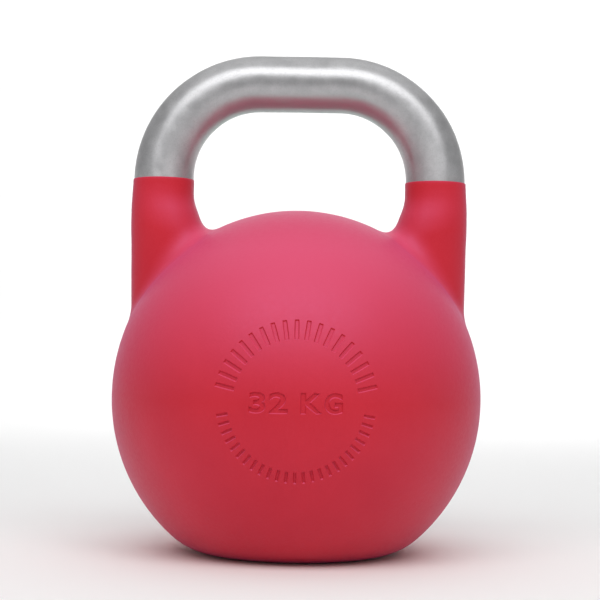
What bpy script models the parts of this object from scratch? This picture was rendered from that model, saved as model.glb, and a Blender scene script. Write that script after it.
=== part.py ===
"""A 32 kg competition kettlebell, as an assembly of separate solids.

A hollow steel ball with two horns carries a bent steel handle on dowelled tenons. The ball holds a
core of resin-bonded steel shot, and a sealed plug in its flat base carries the discs that trim its
mass. Metres, +Z up. The origin is the centre of the flat base, and the marked front faces -Y.
"""

import math

import bmesh
import bpy
from mathutils import Matrix, Vector

MM = 0.001
GAP = 0.3 * MM  # clearance between pieces that seat in or on each other

# Ball
BALL_RADIUS = 105 * MM
BASE_CUT = 17.5 * MM  # how much of the sphere the flat base takes off
CROWN_EXTRA = 2.2 * MM  # how far the crown rises above a true hemisphere
BASE_EDGE_RADIUS = 37 * MM
WALL = 15 * MM
FLOOR = 16 * MM

# Handle
WINDOW_HEIGHT = 56.9 * MM  # from the crown to the underside of the grip
POST_INSET = 27 * MM  # from the ball's side to the axis of each post
CORNER_RADIUS = 55.5 * MM
GRIP_RADIUS = 16.1 * MM
POST_RADIUS = 17.1 * MM
POST_STRAIGHT = 1 * MM  # straight stretch of post between the corner and its shoulder

# Tenons that seat the handle in the horns, and the dowels across them
TENON_RADIUS = 11 * MM
TENON_LENGTH = 28 * MM
TENON_CHAMFER = 1 * MM
DOWEL_RADIUS = 3 * MM
DOWEL_DROP = 14 * MM  # from the shoulder to the dowel's axis
DOWEL_COVER = 0.8 * MM  # filler over the dowel's end, at the back of the horn
DOWEL_BITE = 3 * MM  # how far the dowel runs on past the tenon

# Horn sections: drop below the shoulder, reach from the post's axis towards the middle, reach
# towards the side, half-depth from front to back. The last two are wide enough to meet the crown.
HORN_SECTIONS = (
    (0 * MM, 17.4 * MM, 17.5 * MM, 17.5 * MM),
    (5 * MM, 17.4 * MM, 17.8 * MM, 17.6 * MM),
    (10 * MM, 17.5 * MM, 18.1 * MM, 17.9 * MM),
    (15 * MM, 19.0 * MM, 18.3 * MM, 18.7 * MM),
    (21 * MM, 21.0 * MM, 18.4 * MM, 19.7 * MM),
    (26 * MM, 22.8 * MM, 18.4 * MM, 20.3 * MM),
    (28.5 * MM, 24.6 * MM, 18.3 * MM, 20.5 * MM),
    (30.5 * MM, 28.5 * MM, 18.2 * MM, 20.5 * MM),
    (36 * MM, 29.0 * MM, 18.0 * MM, 20.5 * MM),
)
HORN_FOOT_REACH = 17.4 * MM  # reach towards the side where the horn meets the ball
HORN_ROOT = 15 * MM  # how far the horn runs on below there, inside the ball's wall

# Filling hole in the base, its plug and the plug's seal
HOLE_RADIUS = 20 * MM
LEDGE = 7 * MM  # width of the step that the plug's flange seats on
COUNTERBORE_DEPTH = 6 * MM
PLUG_RECESS = 0.8 * MM  # the plug stays clear of the surface that the base rests on
PLUG_RISE = 15.5 * MM  # height of the plug's inner face
PLUG_CHAMFER = 0.8 * MM
SPANNER_RADIUS = 2.5 * MM
SPANNER_DEPTH = 3.5 * MM
SPANNER_SPACING = 28 * MM
SEAL_RADIUS = 1.1 * MM  # of the seal's round section

# Trim stack on the plug's inner face, held by a socket screw with the standard proportions
TRIM_DISC_COUNT = 3
TRIM_DISC_MARGIN = 1.5 * MM  # between a disc's edge and the filling hole that it passes
TRIM_DISC_THICKNESS = 4 * MM
WASHER_THICKNESS = 1.6 * MM
SCREW_RADIUS = 4 * MM
SCREW_CLEARANCE = 0.5 * MM  # in the discs and the washer
SCREW_BITE = 8 * MM  # length of the screw inside the plug
HEX_DEPTH = 4 * MM
WELL_MARGIN = 4 * MM  # between the filling hole and the well in the core above it
PAD_THICKNESS = 12 * MM

# Sunk marks on the front: the mass, between two arcs of plain bars
MARK_DEPTH = 1 * MM
MARKS_RISE = 0.6 * MM  # height of their common centre above the middle of the ball
MASS_TEXT = "32 KG"
TEXT_WIDTH = 48.4 * MM
TEXT_HEIGHT = 11.2 * MM
TEXT_BOLDNESS = 0.035  # outline offset, as a share of the font size
# Each arc: first and last angle from +X in degrees, inner and outer radius, bar width, bar count
BAR_ARCS = (
    (12, 168, 31.7 * MM, 43.0 * MM, 2.6 * MM, 19),
    (190, 350, 34.9 * MM, 41.6 * MM, 1.9 * MM, 25),
)
MARK_REACH = 40 * MM  # depth of the cutters, half of it outside the ball

# Facets: around each round piece, and along the curves of the profiles
BALL_STEPS = 60
HOLLOW_STEPS = BALL_STEPS // 2
HOLLOW_TURN = math.pi / BALL_STEPS  # keeps the hollow's facets off the edges of the ball's facets
PLUG_STEPS = 36
ROUND_STEPS = 32
SMALL_STEPS = 16
HORN_STEPS = 36
SEAL_SIDES = 8
DOME_STEPS = 15
BOWL_STEPS = 8
BASE_EDGE_STEPS = 5
HOLLOW_DOME_STEPS = 9
HOLLOW_BOWL_STEPS = 5
CORNER_STEPS = 11
BAR_QUARTER_STEPS = 10
LETTER_STEPS = 2
SHARP_ANGLE = math.radians(30)

# Positions worked out from the sizes above
BALL_Z = BALL_RADIUS - BASE_CUT
CROWN_Z = BALL_Z + BALL_RADIUS + CROWN_EXTRA
GRIP_Z = CROWN_Z + WINDOW_HEIGHT + GRIP_RADIUS
POST_X = BALL_RADIUS - POST_INSET
SHOULDER_Z = GRIP_Z - CORNER_RADIUS - POST_STRAIGHT
DOWEL_Z = SHOULDER_Z - DOWEL_DROP
COUNTERBORE_RADIUS = HOLE_RADIUS + LEDGE
FLANGE_TOP = COUNTERBORE_DEPTH - GAP
GROOVE_X = (HOLE_RADIUS + COUNTERBORE_RADIUS) / 2
GROOVE_HALF = SEAL_RADIUS + GAP
GROOVE_Z = FLANGE_TOP - 2 * SEAL_RADIUS - GAP
TRIM_DISC_RADIUS = HOLE_RADIUS - TRIM_DISC_MARGIN
TRIM_HOLE_RADIUS = SCREW_RADIUS + SCREW_CLEARANCE
WASHER_RADIUS = 2 * SCREW_RADIUS
SCREW_HEAD_RADIUS = 1.625 * SCREW_RADIUS
SCREW_HEAD_HEIGHT = 2 * SCREW_RADIUS
HEX_ACROSS_FLATS = 1.5 * SCREW_RADIUS
WELL_RADIUS = HOLE_RADIUS + WELL_MARGIN
SIDES = {"left": -1, "right": 1}

# Materials: colour, roughness, metallic
MATERIALS = {
    "powder_coat": ((0.50, 0.025, 0.050, 1), 0.38, 0.0),
    "linished_steel": ((0.46, 0.46, 0.47, 1), 0.34, 1.0),
    "dowel_steel": ((0.40, 0.40, 0.42, 1), 0.30, 1.0),
    "shot_and_resin": ((0.12, 0.12, 0.13, 1), 0.70, 0.4),
    "foam_rubber": ((0.03, 0.03, 0.03, 1), 0.90, 0.0),
    "trim_steel": ((0.33, 0.33, 0.35, 1), 0.40, 1.0),
    "zinc_plate": ((0.55, 0.55, 0.52, 1), 0.30, 1.0),
    "black_oxide": ((0.05, 0.05, 0.055, 1), 0.45, 0.8),
    "seal_rubber": ((0.015, 0.015, 0.015, 1), 0.60, 0.0),
}


def clear_scene():
    """Remove whatever objects the open file has."""
    for obj in list(bpy.data.objects):
        bpy.data.objects.remove(obj, do_unlink=True)


def new_collection(name):
    """A new collection, linked to the scene."""
    collection = bpy.data.collections.new(name)
    bpy.context.scene.collection.children.link(collection)
    return collection


def new_material(name):
    """A Principled BSDF material from its row in MATERIALS."""
    colour, roughness, metallic = MATERIALS[name]
    material = bpy.data.materials.new(name)
    material.use_nodes = True
    shader = material.node_tree.nodes["Principled BSDF"]
    shader.inputs["Base Color"].default_value = colour
    shader.inputs["Roughness"].default_value = roughness
    shader.inputs["Metallic"].default_value = metallic
    material.diffuse_color = colour
    return material


def new_object(name, bm, collection, material=None):
    """An object from a bmesh, which it frees. A cutter has no material and stays out of renders."""
    mesh = bpy.data.meshes.new(name)
    bm.to_mesh(mesh)
    bm.free()
    obj = bpy.data.objects.new(name, mesh)
    collection.objects.link(obj)
    if material:
        mesh.materials.append(material)
    else:
        obj.hide_render = True
        obj.display_type = "WIRE"
    return obj


def turned(name, profile, steps, collection, material=None, closed=False):
    """A solid turned about Z from (radius, height) points that run down its outer side."""
    bm = bmesh.new()
    verts = [bm.verts.new((radius, 0, height)) for radius, height in profile]
    for start, end in zip(verts, verts[1:]):
        bm.edges.new((start, end))
    if closed:
        bm.edges.new((verts[-1], verts[0]))
    obj = new_object(name, bm, collection, material)
    screw = obj.modifiers.new("turn", "SCREW")
    screw.steps = steps
    screw.render_steps = steps
    screw.use_merge_vertices = True
    screw.merge_threshold = 0.01 * MM
    return obj


def prism(name, radius, start, end, steps, collection):
    """A cutter: a round or many-sided bar from one point to another."""
    start = Vector(start)
    end = Vector(end)
    axis = end - start
    turn = axis.to_track_quat("Z", "Y").to_matrix().to_4x4()
    bm = bmesh.new()
    bmesh.ops.create_cone(
        bm,
        cap_ends=True,
        segments=steps,
        radius1=radius,
        radius2=radius,
        depth=axis.length,
        matrix=Matrix.Translation((start + end) / 2) @ turn,
    )
    return new_object(name, bm, collection)


def boolean(obj, operation, others):
    """Join or cut an object with each of the others."""
    for other in others:
        modifier = obj.modifiers.new(f"{operation.lower()} {other.name}", "BOOLEAN")
        modifier.operation = operation
        modifier.object = other


def mesh_from(obj):
    """The object's evaluated mesh as a bmesh in world space, with loose caps welded."""
    depsgraph = bpy.context.evaluated_depsgraph_get()
    mesh = bpy.data.meshes.new_from_object(obj.evaluated_get(depsgraph))
    bm = bmesh.new()
    bm.from_mesh(mesh)
    bpy.data.meshes.remove(mesh)
    bmesh.ops.transform(bm, matrix=obj.matrix_world, verts=bm.verts)
    bmesh.ops.remove_doubles(bm, verts=bm.verts, dist=0.001 * MM)
    bmesh.ops.recalc_face_normals(bm, faces=bm.faces)
    return bm


def dome(inset, steps):
    """Points down the ball's side, from the crown to the equator, at an inset from its surface."""
    radius = BALL_RADIUS - inset
    rise = CROWN_Z - BALL_Z - inset
    angles = [math.pi / 2 * (1 - step / steps) for step in range(steps + 1)]
    points = [(radius * math.cos(angle), BALL_Z + rise * math.sin(angle)) for angle in angles]
    points[0] = (0, BALL_Z + rise)
    return points


def bowl(inset, lowest_angle, steps):
    """Points on down the ball's lower half, below the equator to an angle in radians."""
    radius = BALL_RADIUS - inset
    angles = [lowest_angle * step / steps for step in range(1, steps + 1)]
    return [(radius * math.cos(angle), BALL_Z - radius * math.sin(angle)) for angle in angles]


def outer_profile(inset=0):
    """The ball's outside from crown to base, with a rounded edge between its side and the base."""
    edge_radius = BASE_EDGE_RADIUS - inset
    rise = BALL_Z - BASE_EDGE_RADIUS
    centre_x = math.sqrt((BALL_RADIUS - BASE_EDGE_RADIUS) ** 2 - rise**2)
    tangent = math.atan2(rise, centre_x)
    points = dome(inset, DOME_STEPS) + bowl(inset, tangent, BOWL_STEPS)
    for step in range(1, BASE_EDGE_STEPS + 1):
        angle = tangent + (math.pi / 2 - tangent) * step / BASE_EDGE_STEPS
        points.append(
            (
                centre_x + edge_radius * math.cos(angle),
                BASE_EDGE_RADIUS - edge_radius * math.sin(angle),
            )
        )
    points.append((0, inset))
    return points


def cavity_profile(inset, floor):
    """The hollow's side from its top down to its flat floor, at an inset from the hollow's wall."""
    radius = BALL_RADIUS - WALL - inset
    floor_angle = math.asin((BALL_Z - floor) / radius)
    inset += WALL
    return dome(inset, HOLLOW_DOME_STEPS) + bowl(inset, floor_angle, HOLLOW_BOWL_STEPS)


def horn(side, collection):
    """One solid horn: a loft of ovals down from the shoulder and into the ball's wall."""
    foot_x = POST_X + HORN_FOOT_REACH
    foot_z = BALL_Z + (CROWN_Z - BALL_Z) * math.sqrt(1 - (foot_x / BALL_RADIUS) ** 2)
    last = HORN_SECTIONS[-1]
    foot_drop = SHOULDER_Z - foot_z
    foot = (foot_drop, last[1], HORN_FOOT_REACH, last[3])
    root = (foot_drop + HORN_ROOT,) + foot[1:]
    sections = HORN_SECTIONS + (foot, root)
    bm = bmesh.new()
    rings = []
    for drop, inward, outward, half_depth in sections:
        centre = POST_X + (outward - inward) / 2
        half_width = (outward + inward) / 2
        height = SHOULDER_Z - GAP - drop
        ring = []
        for step in range(HORN_STEPS):
            angle = math.tau * step / HORN_STEPS
            x = centre + half_width * math.cos(angle)
            ring.append(bm.verts.new((side * x, half_depth * math.sin(angle), height)))
        rings.append(ring)
    for upper, lower in zip(rings, rings[1:]):
        for step in range(HORN_STEPS):
            following = (step + 1) % HORN_STEPS
            bm.faces.new((upper[step], lower[step], lower[following], upper[following]))
    bm.faces.new(rings[0])
    bm.faces.new(reversed(rings[-1]))
    bmesh.ops.recalc_face_normals(bm, faces=bm.faces)
    return new_object("horn", bm, collection)


def mass_text(collection):
    """The mass, as a cutter that faces the front, with flat sides and ends."""
    curve = bpy.data.curves.new("mass_text", "FONT")
    curve.body = MASS_TEXT
    curve.offset = TEXT_BOLDNESS
    curve.extrude = curve.size
    curve.resolution_u = LETTER_STEPS
    guide = bpy.data.objects.new("mass_text", curve)
    collection.objects.link(guide)
    bm = mesh_from(guide)
    bpy.data.objects.remove(guide, do_unlink=True)
    low = Vector([min(vert.co[axis] for vert in bm.verts) for axis in range(3)])
    high = Vector([max(vert.co[axis] for vert in bm.verts) for axis in range(3)])
    size = high - low
    centre = Matrix.Translation(-(low + high) / 2)
    scale = Matrix.Diagonal((TEXT_WIDTH / size.x, TEXT_HEIGHT / size.y, MARK_REACH / size.z, 1))
    face_front = Matrix.Rotation(math.pi / 2, 4, "X")
    place = Matrix.Translation((0, -BALL_RADIUS, BALL_Z + MARKS_RISE))
    bmesh.ops.transform(bm, matrix=place @ face_front @ scale @ centre, verts=bm.verts)
    return new_object("mass_text", bm, collection)


def bar_arcs(collection):
    """The plain bars around the mass, as one cutter of separate boxes that face the front."""
    bm = bmesh.new()
    centre = Matrix.Translation((0, -BALL_RADIUS, BALL_Z + MARKS_RISE))
    for first, last, inner, outer, width, count in BAR_ARCS:
        for step in range(count):
            angle = math.radians(first + (last - first) * step / (count - 1))
            turn = Matrix.Rotation(-angle, 4, "Y")
            middle = Matrix.Translation(((inner + outer) / 2, 0, 0))
            scale = Matrix.Diagonal((outer - inner, MARK_REACH, width, 1))
            bmesh.ops.create_cube(bm, size=1, matrix=centre @ turn @ middle @ scale)
    return new_object("bar_arcs", bm, collection)


def front_marks(collection):
    """Cutters for the marks, with a floor that follows the ball's surface."""
    floor = turned("mark_floor", outer_profile(MARK_DEPTH), BALL_STEPS, collection)
    marks = [mass_text(collection), bar_arcs(collection)]
    for mark in marks:
        boolean(mark, "DIFFERENCE", [floor])
    return marks


def dowel_line(side, start, end):
    """The two ends of a line along the dowel's axis, between two depths."""
    return (side * POST_X, start, DOWEL_Z), (side * POST_X, end, DOWEL_Z)


def dowel_bores(collection):
    """One cutter for each dowel, from behind the horn to past the tenon."""
    bores = []
    for side in SIDES.values():
        ends = dowel_line(side, 2 * TENON_RADIUS, -TENON_RADIUS - DOWEL_BITE - GAP)
        bores.append(prism("dowel_bore", DOWEL_RADIUS + GAP, *ends, SMALL_STEPS, collection))
    return bores


def ball_shell(parts, cutters, material, bores):
    """The hollow ball with its horns, cut for the core, handle, dowels, plug and marks."""
    shell = turned("ball_shell", outer_profile(), BALL_STEPS, parts, material)
    boolean(shell, "UNION", [horn(side, cutters) for side in SIDES.values()])
    hollow = cavity_profile(0, FLOOR) + [
        (HOLE_RADIUS, FLOOR),
        (HOLE_RADIUS, COUNTERBORE_DEPTH),
        (COUNTERBORE_RADIUS, COUNTERBORE_DEPTH),
        (COUNTERBORE_RADIUS, -COUNTERBORE_DEPTH),
        (0, -COUNTERBORE_DEPTH),
    ]
    cuts = [turned("hollow", hollow, HOLLOW_STEPS, cutters)]
    cuts[0].rotation_euler.z = HOLLOW_TURN
    for side in SIDES.values():
        top = (side * POST_X, 0, SHOULDER_Z + TENON_LENGTH)
        bottom = (side * POST_X, 0, SHOULDER_Z - TENON_LENGTH - GAP)
        cuts.append(prism("socket", TENON_RADIUS + GAP, top, bottom, ROUND_STEPS, cutters))
    boolean(shell, "DIFFERENCE", cuts + bores + front_marks(cutters))
    return shell


def handle_path():
    """(x, z) points along the bar's centreline, from the left shoulder to the right one."""
    corner_x = POST_X - CORNER_RADIUS
    corner_z = GRIP_Z - CORNER_RADIUS
    right = []
    for step in range(CORNER_STEPS + 1):
        angle = math.pi / 2 * (1 - step / CORNER_STEPS)
        x = corner_x + CORNER_RADIUS * math.cos(angle)
        right.append((x, corner_z + CORNER_RADIUS * math.sin(angle)))
    right.append((POST_X, SHOULDER_Z))
    left = [(-x, z) for x, z in reversed(right)]
    return left + [(0, GRIP_Z)] + right


def handle_bar(parts, cutters, material, bores):
    """The bent bar, a little thicker towards its posts, with a turned tenon below each shoulder."""
    path = handle_path()
    lengths = [0]
    for start, end in zip(path, path[1:]):
        lengths.append(lengths[-1] + math.dist(start, end))
    half = lengths[-1] / 2
    curve = bpy.data.curves.new("handle_bar", "CURVE")
    curve.dimensions = "3D"
    curve.bevel_depth = GRIP_RADIUS
    curve.bevel_resolution = BAR_QUARTER_STEPS
    curve.use_fill_caps = True
    spline = curve.splines.new("POLY")
    spline.points.add(len(path) - 1)
    for point, (x, z), length in zip(spline.points, path, lengths):
        point.co = (x, 0, z, 1)
        share = abs(length / half - 1)
        point.radius = 1 + (POST_RADIUS / GRIP_RADIUS - 1) * share**2
    guide = bpy.data.objects.new("handle_guide", curve)
    parts.objects.link(guide)
    bar = new_object("handle_bar", mesh_from(guide), parts, material)
    bpy.data.objects.remove(guide, do_unlink=True)

    foot = SHOULDER_Z - TENON_LENGTH
    profile = [  # the cone at its top runs up inside the bar
        (0, SHOULDER_Z + TENON_RADIUS),
        (TENON_RADIUS, SHOULDER_Z + TENON_RADIUS / 2),
        (TENON_RADIUS, foot + TENON_CHAMFER),
        (TENON_RADIUS - TENON_CHAMFER, foot),
        (0, foot),
    ]
    tenons = []
    for side in SIDES.values():
        tenon = turned("tenon", profile, ROUND_STEPS, cutters)
        tenon.location.x = side * POST_X
        tenons.append(tenon)
    boolean(bar, "UNION", tenons)
    boolean(bar, "DIFFERENCE", bores)
    return bar


def dowels(parts, material):
    """A chamfered pin through each horn and tenon, driven from the back and filled over."""
    half_depth = next(row[3] for row in HORN_SECTIONS if row[0] >= DOWEL_DROP)
    back = half_depth - DOWEL_COVER
    length = back + TENON_RADIUS + DOWEL_BITE
    chamfer = DOWEL_RADIUS / 5
    profile = [
        (0, length),
        (DOWEL_RADIUS - chamfer, length),
        (DOWEL_RADIUS, length - chamfer),
        (DOWEL_RADIUS, chamfer),
        (DOWEL_RADIUS - chamfer, 0),
        (0, 0),
    ]
    for name, side in SIDES.items():
        pin = turned(f"handle_dowel_{name}", profile, SMALL_STEPS, parts, material)
        pin.location = dowel_line(side, back, back)[0]
        pin.rotation_euler.x = math.pi / 2  # the pin's length runs forwards from its back end


def disc_profile(radius, hole, bottom, thickness):
    """A closed profile for a flat ring."""
    top = bottom + thickness
    return [(hole, top), (radius, top), (radius, bottom), (hole, bottom)]


def base_plug(parts, cutters, material):
    """The flanged plug, with a groove for its seal, two spanner holes and a blind screw hole."""
    flange = COUNTERBORE_RADIUS - GAP
    shank = HOLE_RADIUS - GAP
    hole = SCREW_RADIUS + GAP
    profile = [
        (0, PLUG_RISE - SCREW_BITE - GAP),
        (hole, PLUG_RISE - SCREW_BITE - GAP),
        (hole, PLUG_RISE),
        (shank - PLUG_CHAMFER, PLUG_RISE),
        (shank, PLUG_RISE - PLUG_CHAMFER),
        (shank, FLANGE_TOP),
        (GROOVE_X - GROOVE_HALF, FLANGE_TOP),
        (GROOVE_X - GROOVE_HALF, GROOVE_Z),
        (GROOVE_X + GROOVE_HALF, GROOVE_Z),
        (GROOVE_X + GROOVE_HALF, FLANGE_TOP),
        (flange, FLANGE_TOP),
        (flange, PLUG_RECESS + PLUG_CHAMFER),
        (flange - PLUG_CHAMFER, PLUG_RECESS),
        (0, PLUG_RECESS),
    ]
    plug = turned("base_plug", profile, PLUG_STEPS, parts, material)
    holes = []
    for side in SIDES.values():
        x = side * SPANNER_SPACING / 2
        ends = (x, 0, -SPANNER_DEPTH), (x, 0, PLUG_RECESS + SPANNER_DEPTH)
        holes.append(prism("spanner_hole", SPANNER_RADIUS, *ends, SMALL_STEPS, cutters))
    boolean(plug, "DIFFERENCE", holes)


def plug_seal(parts, material):
    """A round-section ring in the plug's groove."""
    section = []
    for step in range(SEAL_SIDES):
        angle = math.tau * (0.5 - step / SEAL_SIDES)
        x = GROOVE_X + SEAL_RADIUS * math.cos(angle)
        section.append((x, GROOVE_Z + GROOVE_HALF + SEAL_RADIUS * math.sin(angle)))
    turned("plug_seal", section, PLUG_STEPS, parts, material, closed=True)


def trim_stack(parts, cutters, materials):
    """Discs, washer and screw on the plug's inner face. Returns the height of the screw's top."""
    height = PLUG_RISE + GAP
    for number in range(TRIM_DISC_COUNT):
        profile = disc_profile(TRIM_DISC_RADIUS, TRIM_HOLE_RADIUS, height, TRIM_DISC_THICKNESS)
        turned(f"trim_disc_{number + 1}", profile, ROUND_STEPS, parts, materials["trim_steel"], True)
        height += TRIM_DISC_THICKNESS + GAP
    profile = disc_profile(WASHER_RADIUS, TRIM_HOLE_RADIUS, height, WASHER_THICKNESS)
    turned("trim_washer", profile, SMALL_STEPS, parts, materials["zinc_plate"], True)
    height += WASHER_THICKNESS + GAP

    top = height + SCREW_HEAD_HEIGHT
    foot = PLUG_RISE - SCREW_BITE
    chamfer = SCREW_RADIUS / 5
    profile = [
        (0, top),
        (SCREW_HEAD_RADIUS - chamfer, top),
        (SCREW_HEAD_RADIUS, top - chamfer),
        (SCREW_HEAD_RADIUS, height),
        (SCREW_RADIUS, height),
        (SCREW_RADIUS, foot + chamfer),
        (SCREW_RADIUS - chamfer, foot),
        (0, foot),
    ]
    screw = turned("trim_screw", profile, SMALL_STEPS, parts, materials["black_oxide"])
    hex_radius = HEX_ACROSS_FLATS / math.sqrt(3)
    ends = (0, 0, top + HEX_DEPTH), (0, 0, top - HEX_DEPTH)
    boolean(screw, "DIFFERENCE", [prism("hex_socket", hex_radius, *ends, 6, cutters)])
    return top


def core_and_pad(parts, materials, stack_top):
    """The cast core, with a well over the trim stack, and the pad that fills the well's top."""
    pad_bottom = stack_top + GAP
    well_top = pad_bottom + PAD_THICKNESS + GAP
    bottom = FLOOR + GAP
    profile = cavity_profile(GAP, bottom) + [
        (WELL_RADIUS, bottom),
        (WELL_RADIUS, well_top),
        (0, well_top),
    ]
    core = turned("ballast_core", profile, HOLLOW_STEPS, parts, materials["shot_and_resin"])
    core.rotation_euler.z = HOLLOW_TURN
    pad_top = well_top - GAP
    profile = [
        (0, pad_top),
        (WELL_RADIUS - GAP, pad_top),
        (WELL_RADIUS - GAP, pad_bottom),
        (0, pad_bottom),
    ]
    turned("packing_pad", profile, ROUND_STEPS, parts, materials["foam_rubber"])


def finish(parts):
    """Settle each part's modifiers into its mesh, shade it smooth, and parent it to one empty."""
    bpy.context.view_layer.update()
    settled = {obj: mesh_from(obj) for obj in parts.objects}
    origin = bpy.data.objects.new("kettlebell", None)
    for obj, bm in settled.items():
        bmesh.ops.transform(bm, matrix=obj.matrix_world.inverted(), verts=bm.verts)
        bm.to_mesh(obj.data)
        bm.free()
        obj.modifiers.clear()
        obj.data.shade_smooth()
        obj.data.set_sharp_from_angle(angle=SHARP_ANGLE)
        obj.parent = origin
    parts.objects.link(origin)


def build():
    """Model every part."""
    clear_scene()
    parts = new_collection("kettlebell_parts")
    cutters = new_collection("kettlebell_cutters")
    materials = {name: new_material(name) for name in MATERIALS}
    bores = dowel_bores(cutters)
    ball_shell(parts, cutters, materials["powder_coat"], bores)
    handle_bar(parts, cutters, materials["linished_steel"], bores)
    dowels(parts, materials["dowel_steel"])
    base_plug(parts, cutters, materials["zinc_plate"])
    plug_seal(parts, materials["seal_rubber"])
    stack_top = trim_stack(parts, cutters, materials)
    core_and_pad(parts, materials, stack_top)
    finish(parts)


build()
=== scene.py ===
"""Looks for the kettlebell: a painted skin with sunk marks, a linished handle and a turned base plug.

Each surface is a formula: the ball, its horns and the fillet between them are one distance field,
and a mesh of that shape is pulled onto it. Metres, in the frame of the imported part.
"""

import math

import bmesh
import bpy
import numpy as np
from mathutils import Matrix, Vector


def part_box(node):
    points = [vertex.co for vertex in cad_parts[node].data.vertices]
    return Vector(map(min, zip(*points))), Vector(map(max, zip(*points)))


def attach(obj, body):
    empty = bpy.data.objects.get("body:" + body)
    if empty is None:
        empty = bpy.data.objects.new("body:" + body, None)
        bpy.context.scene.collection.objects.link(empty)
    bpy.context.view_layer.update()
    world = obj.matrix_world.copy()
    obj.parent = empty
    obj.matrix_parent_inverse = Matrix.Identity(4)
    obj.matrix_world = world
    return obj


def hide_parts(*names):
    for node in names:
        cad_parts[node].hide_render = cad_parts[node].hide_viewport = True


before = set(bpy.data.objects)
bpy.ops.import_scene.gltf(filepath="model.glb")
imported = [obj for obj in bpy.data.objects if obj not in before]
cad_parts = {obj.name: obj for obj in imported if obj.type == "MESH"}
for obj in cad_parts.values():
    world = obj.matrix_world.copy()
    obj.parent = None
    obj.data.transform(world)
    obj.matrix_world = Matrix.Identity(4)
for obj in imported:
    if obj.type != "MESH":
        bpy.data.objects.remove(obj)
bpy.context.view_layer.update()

MM = 0.001

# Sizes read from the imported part
SHELL_HIGH = Vector(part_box("ball_shell")[1])
BAR_LOW, BAR_HIGH = (Vector(corner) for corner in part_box("handle_bar"))
PLUG_LOW, PLUG_HIGH = (Vector(corner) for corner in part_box("base_plug"))
BALL_RADIUS = SHELL_HIGH.x

# Sizes that the part was designed with
GAP = 0.3 * MM
BASE_CUT = 17.5 * MM
CROWN_EXTRA = 2.2 * MM
BASE_EDGE_RADIUS = 37 * MM
WALL = 15 * MM
FLOOR = 16 * MM
CORNER_RADIUS = 55.5 * MM
GRIP_RADIUS = 16.1 * MM
POST_RADIUS = 17.1 * MM
TENON_RADIUS = 11 * MM
HOLE_RADIUS = 20 * MM
COUNTERBORE_RADIUS = 27 * MM
COUNTERBORE_DEPTH = 6 * MM
SPANNER_RADIUS = 2.5 * MM
SPANNER_DEPTH = 3.5 * MM
SPANNER_SPACING = 28 * MM

# Positions worked out from the sizes above
BALL_Z = BALL_RADIUS - BASE_CUT
CROWN_RISE = BALL_RADIUS + CROWN_EXTRA
GRIP_Z = BAR_HIGH.z - GRIP_RADIUS
POST_X = BAR_HIGH.x - POST_RADIUS
SHOULDER_Z = SHELL_HIGH.z + GAP
TENON_FOOT = BAR_LOW.z

# The painted skin
VOXEL = 2.2 * MM
INSET = 0.03 * MM  # keeps the skin inside the faceted part's own box
PROJECT_STEPS = 8
GRADIENT_STEP = 0.02 * MM
ROUGH_POST_RADII = (19 * MM, 17.5 * MM)  # at the foot and the top, before the pull onto the skin
ROUGH_POST_RISE = 6 * MM  # above the shoulder, to be trimmed off
HORN_BOTTOM = 112 * MM  # the horns end here, inside the ball
# Horn sections by drop below the shoulder: reach inwards and outwards from the post's axis, and
# half-depth, close to the part's own. Splines between the rows keep the surface smooth.
HORN_DROPS = np.array([-8, 0, 5, 10, 14, 20, 27, 36, 55, 76, 100]) * MM
HORN_INWARD = np.array([17.3, 17.3, 17.3, 17.5, 18.4, 20.6, 23.0, 26.0, 29.0, 29.0, 29.0]) * MM
HORN_OUTWARD = np.array([17.4, 17.5, 17.8, 18.1, 18.3, 18.4, 18.4, 18.1, 17.8, 17.4, 17.4]) * MM
HORN_DEPTH = np.array([17.4, 17.5, 17.6, 17.9, 18.5, 19.6, 20.4, 20.5, 20.5, 20.5, 20.5]) * MM
FILLET_LOW = 3.0 * MM  # reach of the blend between horn and ball, low on the ball's side
FILLET_HIGH = 11.0 * MM  # and at the horn's inner corner
FILLET_LOW_Z = 140 * MM
FILLET_HIGH_Z = 180 * MM
COLLAR_Z = SHOULDER_Z - 3.5 * MM  # above here the horn is built of true rings
PAINT_TOP = SHOULDER_Z + 0.5 * MM  # the paint laps onto the steel
PAINT_LIP = 0.35 * MM
BASE_RING = 44 * MM  # inside here the base is built of true rings
BASE_INNER_RING = 36 * MM
HOLE_CHAMFER = 0.5 * MM
HOLLOW_STEPS = 22

# Sunk marks
MARK_DEPTH = 0.9 * MM
MARK_SLOPE = 0.55 * MM  # width of a mark's sloping wall
MARK_ABOVE = 0.5 * MM  # how far the cutters stand out of the skin
MARKS_RISE = 0.6 * MM  # height of their common centre above the middle of the ball
TEXT_HEIGHT = 11.2 * MM
LETTER_BOLD = 0.75 * MM  # how far the letters' outlines are moved outwards
LETTER_PRUNES = 3  # passes that drop what would make a moved outline cross itself
SHARP_TURN = 0.4  # sine of the turn above which an outline's point counts as a sharp corner
# Each letter's left and right side
LETTERS = (
    ("3", -24.2 * MM, -15.2 * MM),
    ("2", -13.9 * MM, -3.9 * MM),
    ("K", 2.2 * MM, 13.6 * MM),
    ("G", 14.3 * MM, 24.2 * MM),
)
# Each arc: first and last angle from +X in degrees, inner and outer radius, bar width, bar count
BAR_ARCS = (
    (12, 168, 31.7 * MM, 43.0 * MM, 2.6 * MM, 19),
    (190, 350, 34.9 * MM, 41.6 * MM, 1.9 * MM, 25),
)
BAR_ROUND = 0.4 * MM

# The handle
AROUND = 96
RING_STEP = 1.2 * MM
HAND_GROUND = 0.10 * MM  # how far the bar strays from round, inwards

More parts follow.
